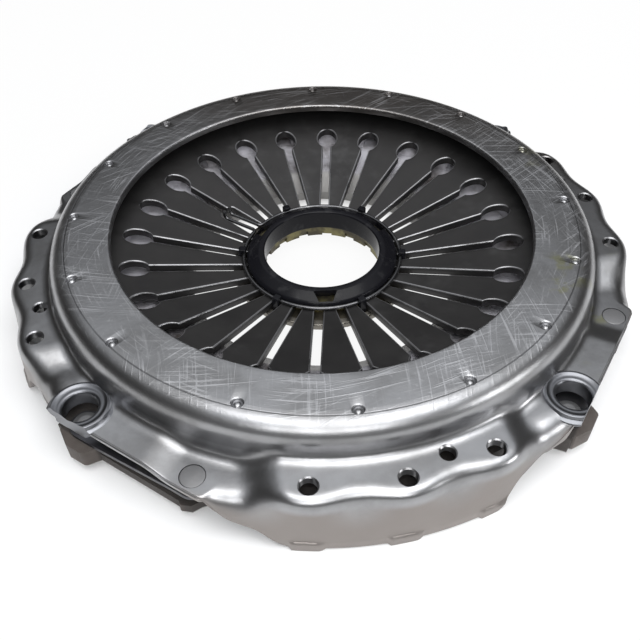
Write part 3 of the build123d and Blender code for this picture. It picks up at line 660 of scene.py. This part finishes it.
def drilled(radius, centre):
    # a straight bore through the pad, flared by its chamfer: radius + chamfer at the face
    h, face = holes, coverShape["pad"]
    wide = radius + h["chamfer"] + h["past"]
    return lathe([(radius, face - h["below"]), (radius, face - h["chamfer"]), (wide, face + h["past"]),
                  (wide, face + h["above"])], h["sides"], centre)


def bored(radius, low, high, centre):  # a plain cylinder
    return lathe([(radius, low), (radius, high)], holes["sides"], centre)


def holeTools():
    # cutters at each pad's and bay's own places, and one punch at each equal turn round the crown
    h, c = holes, coverShape
    tools = []
    for pad in bays:
        for turn in h["boltTurns"]:
            tools.append(drilled(h["bolt"], turned(h["boltCircle"], 0, 90 * pad + turn)))
        tools.append(drilled(h["dowel"], turned(h["dowelCircle"], 0, 90 * pad + h["dowelTurn"])))
        low, high = h["accessLow"], h["accessHigh"]
        tools.append(bored(h["access"], low, high, bayPoint(pad, h["rivetLine"], -h["rivetHalf"])))
        seat = c["seat"] - h["headDepth"]
        tools.append(bored(h["headSeat"], seat, h["headTop"], bayPoint(pad, h["rivetLine"], h["rivetHalf"])))
    punch = [(r, c["crown"] + z) for r, z in h["punch"]]
    for k in range(h["stakes"]):
        place = turned(h["stakeCircle"], 0, h["stakeStart"] + h["stakeTurn"] * k)
        tools.append(lathe(punch, h["stakeSides"], place))
    return tools


coverMesh = makeMesh("coverPressing", *coverSkin())
coverMesh = cutMesh(coverMesh, makeMesh("holeTools", *joined(holeTools())))
addPiece("coverPressing", coverMesh, "cover", "cover", "cover", 38)
print("cover pressed,", len(coverMesh.polygons), "faces")

# raised collars round the access holes: a ring section with a dished crown, a foot on the bay floor and a
# sleeve drawn down, cut straight on the bay's free edge
collar = dict(
    bore=11.5, top=44.5, boreDrop=0.6, dish=(15.5, 43.3), brow=17.8, browRise=0.1, outer=19.4, flank=0.7,
    flankRise=0.9, foot=22.6, footSink=0.3, floor=41.0, under=(20.5, 37.0), sleeve=17.5, sleeveTop=36.2,
    bottom=31.5, seam=2.0, rounds=(2.4, 4.0, 1.1, 0.9, 1.6, 0.3, 0, 0.5, 1.0, 1.0), sides=96,
    edge=232.0, cut=30.0, cutLow=28.0, cutHigh=60.0,
)


def collarRings():
    # the section is turned about each access hole, and all beyond the line out = edge is cut away
    k = collar
    section = roundedPath(
        [(k["bore"], k["bottom"] + k["seam"]), (k["bore"], k["top"] - k["boreDrop"]), k["dish"],
         (k["brow"], k["top"] + k["browRise"]), (k["outer"], k["top"] - k["browRise"]),
         (k["outer"] + k["flank"], k["floor"] + k["flankRise"]), (k["foot"], k["floor"] - k["footSink"]),
         k["under"], (k["sleeve"], k["sleeveTop"]), (k["sleeve"], k["bottom"]), (k["bore"], k["bottom"]),
         (k["bore"], k["bottom"] + k["seam"])], k["rounds"], steps=6)[:-1]
    side = -holes["rivetHalf"]
    rings = joined([lathe(section, k["sides"], bayPoint(b, holes["rivetLine"], side), True) for b in bays])
    near, far, left, right = k["edge"], k["edge"] + k["cut"], side - k["cut"], side + k["cut"]
    blocks = bayBlocks([(near, left), (far, left), (far, right), (near, right)], k["cutLow"], k["cutHigh"])
    return cutMesh(makeMesh("rings", *rings), makeMesh("freeEdge", *blocks))


addPiece("accessCollars", collarRings(), "collar", "cover", None, 50)
print("collars set")

# diaphragm spring: 24 fingers, each a closed section across carried along the radius
springShape = dict(
    fingers=24, tip=58.5, rim=201.0, sheet=6.2, slope=0.2, pivot=197.0, pivotTop=56.113, slot=3.4,
    keyhole=146.0, keyLong=11.5, keyWide=8.5, bevel=1.1, lowerBevel=0.3, bevelPower=1.6,
    bevelSteps=(0.0, 0.3, 0.62, 0.88, 1.0), flatSteps=9, endRun=1.2, endDrop=1.1,
    tail=135.0, tailHalf=7.5, tailEnd=97.0, tailFade=3.0,  # the slot that holds the wire's tails
    tipSteps=(0, 0.3, 1.1), slotRows=(62, 132, 22), tailRows=(93.5, 95, 96.2, 97), keyRows=33,
    bridgeRows=(158.5, 162), coneRows=(170, 199.5, 6), rimSteps=(0.4, 0), blendStart=210.0, blendEnd=62.0,
)


def fingerSkin(turn):
    # half width of the gap beside the finger: slot, then keyhole ellipse, then none; the finger's half angle
    # is pi / fingers - arcsin(gap / r), and its height rises by slope * (r - pivot)
    s = springShape
    r = np.unique(np.concatenate([
        s["tip"] + np.array(s["tipSteps"]), np.linspace(*s["slotRows"]), s["tailRows"],
        s["keyhole"] + s["keyLong"] * np.sin(np.linspace(-np.pi / 2, np.pi / 2, s["keyRows"])),
        s["bridgeRows"], np.linspace(*s["coneRows"]), s["rim"] - np.array(s["rimSteps"])]))[:, None]
    ellipse = s["keyWide"] * np.sqrt(np.clip(1 - ((r - s["keyhole"]) / s["keyLong"]) ** 2, 0, None))
    gap = np.where(r < s["keyhole"], np.maximum(ellipse, s["slot"]), ellipse)
    half = np.pi / s["fingers"]

    def sideGap(side):  # the tail slot is wider, up to the tails' end
        offTail = (turn + side * np.degrees(half) - s["tail"] + 180) % 360 - 180
        if abs(offTail) >= 1:
            return gap
        fade = np.clip((r - s["tailEnd"] + s["tailFade"]) / s["tailFade"], 0, 1) ** 2
        wide = between(s["tailHalf"], s["slot"], fade)
        return np.maximum(gap, np.where(r < s["tailEnd"], wide, 0))

    gaps = [sideGap(-1), sideGap(1)]
    ends = [np.clip(run / s["endRun"], 0, 1) for run in (r - s["tip"], s["rim"] - r)]
    drop = s["endDrop"] * (1 - smooth(0, 1, ends[0]) * smooth(0, 1, ends[1]))
    top = s["pivotTop"] + s["slope"] * (r - s["pivot"]) - drop
    thick = s["sheet"] / np.cos(np.arctan(s["slope"])) - 2 * drop
    left, right = -half + np.arcsin(gaps[0] / r), half - np.arcsin(gaps[1] / r)

    def face(bevel, height, inward):
        # left wall's bevel, the flat, the right wall's bevel: a bevel goes k^2 across and (1 - k)^power down
        depth = bevel * np.clip(np.minimum(*gaps) / 2, 0, 1)
        steps, power = s["bevelSteps"], s["bevelPower"]
        bevels = [(depth * k * k / r, height - inward * depth * (1 - k) ** power) for k in steps]
        start, wide = left + depth / r, right - left - 2 * depth / r
        flat = [(start + wide * k, height) for k in np.linspace(0, 1, s["flatSteps"])[1:-1]]
        return [(left + a, z) for a, z in bevels] + flat + [(right - a, z) for a, z in bevels[::-1]]

    loop = face(s["bevel"], top, 1)
    count = len(loop)
    loop += face(s["lowerBevel"], top - thick, -1)[::-1]
    angle, z = (np.concatenate([pair[k] + 0 * r for pair in loop], 1) for k in range(2))
    angle = angle + np.radians(turn)
    points = np.stack([r * np.cos(angle), r * np.sin(angle), z], -1)
    faces = gridFaces(len(r), 2 * count, False, True)
    for row, way in ((0, 1), (len(r) - 1, -1)):  # the two ends, as strips from the upper to the lower side
        base = row * 2 * count
        strip = [(base + k, base + 2 * count - 1 - k) for k in range(count)]
        faces += [[a, b, d, c][::way] for (a, c), (b, d) in zip(strip, strip[1:])]
    mesh = makeMesh("finger", points, faces)
    # the marked points are painted pale by the spring's finish: partly worn edge, partly painted highlight
    worn = np.zeros(2 * count)
    worn[[1, 2, 3, count - 4, count - 3, count - 2]] = 1  # the middle of each upper bevel
    mesh.attributes.new("edge", "FLOAT", "POINT").data.foreach_set("value", np.tile(worn, len(r)))
    return mesh


for k in range(springShape["fingers"]):
    turn = 360 / springShape["fingers"] * (k + 0.5)
    finger = addPiece(f"springFinger_{k + 1:02d}", fingerSkin(turn), "spring", None, "diaphragm_spring", 50)
    way = np.array([*turned(1, 0, turn), 0]) * mm
    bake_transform(finger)
print("spring cut into", springShape["fingers"], "fingers")

# strap leaves: flat at both rivets, an even slope between, round ends
strapShape = dict(
    leaves=3, width=22.0, sheet=1.0, clearance=0.02, coverTop=30.5, plateTop=24.5, stations=61,
    acrossStations=9, endShare=0.9995, blendHalf=34.0, blendHeight=27.0,
)


def leafSkin(bay, layer):
    # half width = radius * sqrt(1 - over^2) past each rivet; height = plateTop + (coverTop - plateTop) * the
    # share of the way along, less the leaves above it
    s, half = strapShape, holes["rivetHalf"]
    radius = s["width"] / 2
    t = (half + radius) * np.sin(np.linspace(-np.pi / 2, np.pi / 2, s["stations"]))[:, None]
    over = np.clip((np.abs(t) - half) / radius, 0, s["endShare"])
    wide = radius * np.sqrt(1 - over ** 2)
    slope = half - radius
    top = between(s["plateTop"], s["coverTop"], np.clip((t + slope) / (2 * slope), 0, 1)) - s["sheet"] * layer
    ways = np.linspace(-1, 1, s["acrossStations"])
    loop = [(k * wide, top - s["clearance"]) for k in ways]
    loop += [(-k * wide, top - s["sheet"] + s["clearance"]) for k in ways]
    across, z = (np.concatenate([pair[k] + 0 * t for pair in loop], 1) for k in range(2))
    x, y = bayPoint(bay, holes["rivetLine"] + across, t)
    faces = gridFaces(s["stations"], len(loop), False, True)
    first = np.arange(len(loop))
    faces += [first[::-1].tolist(), (first + (s["stations"] - 1) * len(loop)).tolist()]
    return np.stack([x, y, z + 0 * x], -1), faces


for bay in bays:
    for layer in range(strapShape["leaves"]):
        leaf = addPiece(f"leaf_{bay + 1}_{layer + 1}", makeMesh("leaf", *leafSkin(bay, layer)), "strap", None,
                        f"strap_{bay + 1}_{layer + 1}", 40)
        places = [bayPoint(bay, holes["rivetLine"], side * strapShape["blendHalf"]) for side in (1, -1)]
        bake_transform(leaf)
print("straps laid")

# rivets: flush discs on the cover side, domed heads on the plate side; core is the small flat at the axis
rivetShape = dict(
    core=0.3, sides=48, shank=4.9, coverHead=8.15, seat=36.5, headDepth=2.5, headRise=0.15, washerUnder=26.0,
    closing=8.0, closingHeight=3.5, closingBevel=2.0, coverRounds=(1.5, 1.5, 0.5, 0, 0, 0.2, 0.6),
    plateFoot=8.0, plateTail=8.0, tailDepth=4.0, plateTop=24.5, plateHead=9.0, headHeight=3.5,
    domeEdge=(0.4, 1.4), domeTop=4.5, plateRounds=(0.4, 0.4, 0, 0, 0.2, 1.6, 3.0),
)


def flushRivet():  # half section, up from the closing head to the flush one
    v = rivetShape
    low, under = v["washerUnder"] - v["closingHeight"], v["seat"] - v["headDepth"]
    return roundedPath(
        [(v["core"], low), (v["closing"] - v["closingBevel"], low), (v["closing"], low + v["closingBevel"]),
         (v["closing"], v["washerUnder"]), (v["shank"], v["washerUnder"]), (v["shank"], under),
         (v["coverHead"], under), (v["coverHead"], v["seat"]), (v["core"], v["seat"] + v["headRise"])],
        v["coverRounds"], steps=4)


def domedRivet():  # half section, up from the tail to the domed head
    v = rivetShape
    tail, high = v["plateFoot"] + v["tailDepth"], v["plateTop"] + v["headHeight"]
    return roundedPath(
        [(v["core"], v["plateFoot"]), (v["plateTail"], v["plateFoot"]), (v["plateTail"], tail),
         (v["shank"], tail), (v["shank"], v["plateTop"]), (v["plateHead"], v["plateTop"]),
         (v["plateHead"] - v["domeEdge"][0], high - v["domeEdge"][1]), (v["plateHead"] - v["domeTop"], high),
         (v["core"], high)], v["plateRounds"], steps=5)


for name, path, side, body, node in (
    ("coverRivets", flushRivet(), 1, "cover", "cover_rivets"),
    ("plateRivets", domedRivet(), -1, "pressure_plate", "plate_rivets"),
):
    places = [bayPoint(b, holes["rivetLine"], side * holes["rivetHalf"]) for b in bays]
    rivets = joined([lathe(path, rivetShape["sides"], place) for place in places])
    addPiece(name, makeMesh(name, *rivets), "rivet", body, node, 35)
print("rivets closed")

# thrust ring: turned section with a rounded crown, three pockets cut through it
thrustShape = dict(
    sides=180, bore=45.6, wall=2.4, outer=60.0, hubTop=30.013, rise=7.6, skirt=9.0, browRun=2.6,
    browHeight=2.9, lipDrop=0.4, lipRise=0.5, innerRun=1.0, innerDrop=0.5, seam=2.0,
    rounds=(1.6, 4.0, 4.2, 0.4, 0.4, 0.3, 0.3, 0.3, 0.4, 0.4),
    pockets=3, turn=-100.0, inner=50.2, innerWidth=18.0, out=58.2, outWidth=10.5, pocketLow=-1.0,
    pocketHigh=15.0,
)


def thrustMesh():
    # the section is turned about the axis, less a wedge at each pocket that narrows outward
    t = thrustShape
    hub, top, wall = t["hubTop"], t["hubTop"] + t["rise"], t["bore"] + t["wall"]
    low, lip, ceiling = hub - t["skirt"], hub - t["lipDrop"], hub + t["rise"] - t["wall"]
    ring = roundedPath(
        [(t["bore"], low + t["seam"]), (t["bore"], top), (wall + t["browRun"], top),
         (t["outer"], hub + t["browHeight"]), (t["outer"], lip), (t["outer"] - t["wall"], lip),
         (t["outer"] - t["wall"], hub + t["lipRise"]),
         (wall + t["innerRun"], ceiling - t["innerDrop"]), (wall, ceiling - 2 * t["innerDrop"]), (wall, low),
         (t["bore"], low), (t["bore"], low + t["seam"])], t["rounds"], steps=7)[:-1]
    wedge = [(t["inner"], -t["innerWidth"] / 2), (t["out"], -t["outWidth"] / 2),
             (t["out"], t["outWidth"] / 2), (t["inner"], t["innerWidth"] / 2)]
    tools = []
    for k in range(t["pockets"]):
        degrees = t["turn"] + 360 / t["pockets"] * k
        outline = [turned(*corner, degrees) for corner in wedge]
        tools.append(prism(outline, hub + t["pocketLow"], hub + t["pocketHigh"]))
    whole = makeMesh("ring", *lathe(ring, t["sides"], closed=True))
    return cutMesh(whole, makeMesh("pockets", *joined(tools)))


addPiece("thrustRing", thrustMesh(), "black", "release_ring", "thrust_ring", 40)
print("thrust ring turned")

# the rest keep their CAD shape, merged and smoothed, with a small bevel on the worked edges; only the plate's
# lugs are trimmed
kept = {  # finish, body and width of the bevel in millimetres
    "release_ring": ("hub", "release_ring", 0.5),
    "retaining_wire": ("wire", "release_ring", 0),
    "wire_clips": ("black", "release_ring", 0.5),
    "pressure_plate": ("plate", "pressure_plate", 1.2),
    "pivot_ring": ("wire", "cover", 0),
    "strap_washers": ("rivet", "cover", 0.2),
}
softening = dict(segments=2, angle=40.0, sharp=32)
lugTrim = dict(outline=((229.6, -75), (250, -75), (250, -55), (229.6, -60)), low=0.0, high=24.3)


def trimmedPlate():  # the back of each lug is cut to a slant
    return cutMesh(cadCopy("pressure_plate"), makeMesh("lugTrim", *bayBlocks(**lugTrim)))


for node, (finish, body, bevel) in kept.items():
    shape = trimmedPlate() if node == "pressure_plate" else cadCopy(node)
    piece = addPiece(node.replace("_", "-"), shape, finish, body, node, softening["sharp"])
    if bevel:
        soften = piece.modifiers.new("soften", "BEVEL")
        soften.width, soften.segments, soften.limit_method = bevel * mm, softening["segments"], "ANGLE"
        soften.angle_limit, soften.harden_normals = np.radians(softening["angle"]), True
print("turned and cast pieces smoothed")

# floor, studio tent, lamps and world, in metres and watts
studio = dict(
    floor=(0.86, 0.86, 0.86), floorSize=7.0, floorDrop=0.0003, bright=0.92, beside=(0.235, 0.33),
    middle=(0.13, 0.1), padCosine=(0.2, 0.6), padInner=(0.18, 0.19), padOuter=(0.228, 0.222), padLightStrength=0.8,
    tentRadius=2.2, tentTop=66.0, tentSides=96, tentRows=12, tentDark=(0.035, 0.033, 0.031),
    tentPale=(0.85, 0.87, 0.9), rise=(33.0, 54.0), tentFront=0.12, frontSpan=(0.2, -1.6), tentLeft=0.55,
    leftSpan=(-0.5, -1.7), sky=(0.95, 0.97, 1.0, 1), skyStrength=0.6,
)
softboxes = dict(
    overheadSoftbox=dict(size=(1.7, 1.4), power=24.0, place=(0.1, -0.65, 1.75), aim=(0.1, -0.65, 0.0)),
    frontSoftbox=dict(size=(1.3, 0.6), power=12.0, place=(-0.3, -1.6, 1.25), aim=(0.0, 0.0, 0.0)),
    sideSoftbox=dict(size=(0.6, 0.5), power=6.0, place=(1.35, -1.1, 0.55), aim=(0.0, 0.0, 0.0)),
)


def floorFinish():
    # pale paper: to camera and reflections it is part way to white beside the object and through its middle,
    # with painted light under the pads, and plain and shaded elsewhere
    f = Finish("paleFloor", color=studio["floor"], roughness=0.8, specular=0.1)
    x, y, z = f.parts()
    r = length(x, y)
    clear = f.ramp(r, *studio["beside"]).orMore(f.ramp(r, *studio["middle"])) * studio["bright"]
    # painted light: under the pads the floor glows toward white to camera and reflections
    pads = f.ramp((bearing(y, x) * 4.0).cosine(), *studio["padCosine"])
    paintedLightUnderPads = pads * f.ramp(r, *studio["padInner"]) * f.ramp(r, *studio["padOuter"]) * studio["padLightStrength"]
    white = f.node("Emission", {}, {})
    plain = Value(f, f.shader.outputs[0])
    f.surface(f.node("MixShader", {}, [f.seen() * clear.orMore(paintedLightUnderPads), plain, white]))
    return f.material


def tentFinish():
    # only reflections see it: dark low down, paler upward and on the camera's side, less so on the left
    f = Finish("studioTent")
    x, y, z = f.parts()
    elevation = bearing(z, length(x, y)) * (180 / np.pi)
    rise = f.ramp(elevation, *studio["rise"]) * (1 - f.ramp(x, *studio["leftSpan"]) * studio["tentLeft"])
    near = f.ramp(y, *studio["frontSpan"]) * studio["tentFront"]
    tone = f.mix((rise + near).atMost(1.0), studio["tentDark"], studio["tentPale"])
    f.surface(f.node("Emission", {}, {"Color": tone}))
    return f.material


def stagePiece(name, points, faces, material):
    mesh = bpy.data.meshes.new(name)
    mesh.from_pydata(points, [], faces)
    mesh.materials.append(material)
    piece = bpy.data.objects.new(name, mesh)
    bpy.context.scene.collection.objects.link(piece)
    return piece


def layFloor():
    half = studio["floorSize"] / 2
    corners = [(-half, -half, 0), (half, -half, 0), (half, half, 0), (-half, half, 0)]
    stagePiece("floor", corners, [(0, 1, 2, 3)], floorFinish()).location.z = -studio["floorDrop"]


def raiseTent():
    # part of a sphere from the floor up: radius R cos(a), height R sin(a)
    angle = np.radians(np.linspace(0, studio["tentTop"], studio["tentRows"]))
    path = np.stack([np.cos(angle), np.sin(angle)], 1) * studio["tentRadius"]
    points, faces = lathe(path, studio["tentSides"])
    tent = stagePiece("studioTent", points.tolist(), faces[:-2], tentFinish())  # without the two end caps
    tent.visible_camera = tent.visible_diffuse = tent.visible_shadow = tent.visible_transmission = False


def softbox(name, size, power, place, aim):
    lamp = bpy.data.lights.new(name, "AREA")
    lamp.shape, lamp.size, lamp.size_y, lamp.energy = "RECTANGLE", size[0], size[1], power
    holder = bpy.data.objects.new(name, lamp)
    holder.location = place
    holder.rotation_mode = "QUATERNION"
    holder.rotation_quaternion = (Vector(aim) - Vector(place)).to_track_quat("-Z", "Y")
    bpy.context.scene.collection.objects.link(holder)


def lightWorld():  # soft light on the object, white to camera and reflections
    world = bpy.data.worlds.new("studio")
    bpy.context.scene.world = world
    world.use_nodes = True
    g = Graph(world.node_tree)
    soft = g.tree.nodes["Background"]
    g.put(soft.inputs["Color"], studio["sky"])
    g.put(soft.inputs["Strength"], studio["skyStrength"])
    white = g.node("Background", {}, {"Color": (1, 1, 1, 1)})
    mixed = g.node("MixShader", {}, [g.seen(), Value(g, soft.outputs[0]), white])
    g.put(g.tree.nodes["World Output"].inputs["Surface"], mixed)


layFloor()
raiseTent()
for name, settings in softboxes.items():
    softbox(name, **settings)
lightWorld()
print("studio lit")

# camera: looks down on the axis from in front of one pad, turned a little off its middle
cameraView = dict(elevation=39.406, distance=0.59779, above=0.047, yaw=0.195, pitch=-6.2008, roll=0.648,
                  turn=-12.64, focalPixels=754.8, pixels=640, sensor=36.0, near=0.01, far=50)


def rotated(axis, degrees, vector):
    return np.array(Matrix.Rotation(np.radians(degrees), 3, axis)) @ vector


def placeCamera():
    v = cameraView
    e = np.radians(v["elevation"])
    place = np.array([0, -np.cos(e), np.sin(e)]) * v["distance"]
    ahead, right = np.array([0, np.cos(e), -np.sin(e)]), np.array([1.0, 0, 0])
    up = np.cross(right, ahead)
    ahead, right = rotated(up, v["yaw"], ahead), rotated(up, v["yaw"], right)
    ahead, up = rotated(right, v["pitch"], ahead), rotated(right, v["pitch"], up)
    right, up = rotated(ahead, v["roll"], right), rotated(ahead, v["roll"], up)
    axes = np.stack([right, up, -ahead, place], 1)
    matrix = np.eye(4)
    matrix[:3] = rotated("Z", v["turn"], axes)
    matrix[2, 3] += v["above"]
    data = bpy.data.cameras.new("camera")
    data.sensor_fit, data.sensor_width = "HORIZONTAL", v["sensor"]
    data.lens = v["focalPixels"] / v["pixels"] * v["sensor"]
    data.clip_start, data.clip_end = v["near"], v["far"]
    camera = bpy.data.objects.new("camera", data)
    camera.matrix_world = Matrix(matrix.tolist())
    bpy.context.scene.collection.objects.link(camera)
    bpy.context.scene.camera = camera


placeCamera()
bpy.context.scene.view_settings.view_transform = "Standard"
print("camera placed")
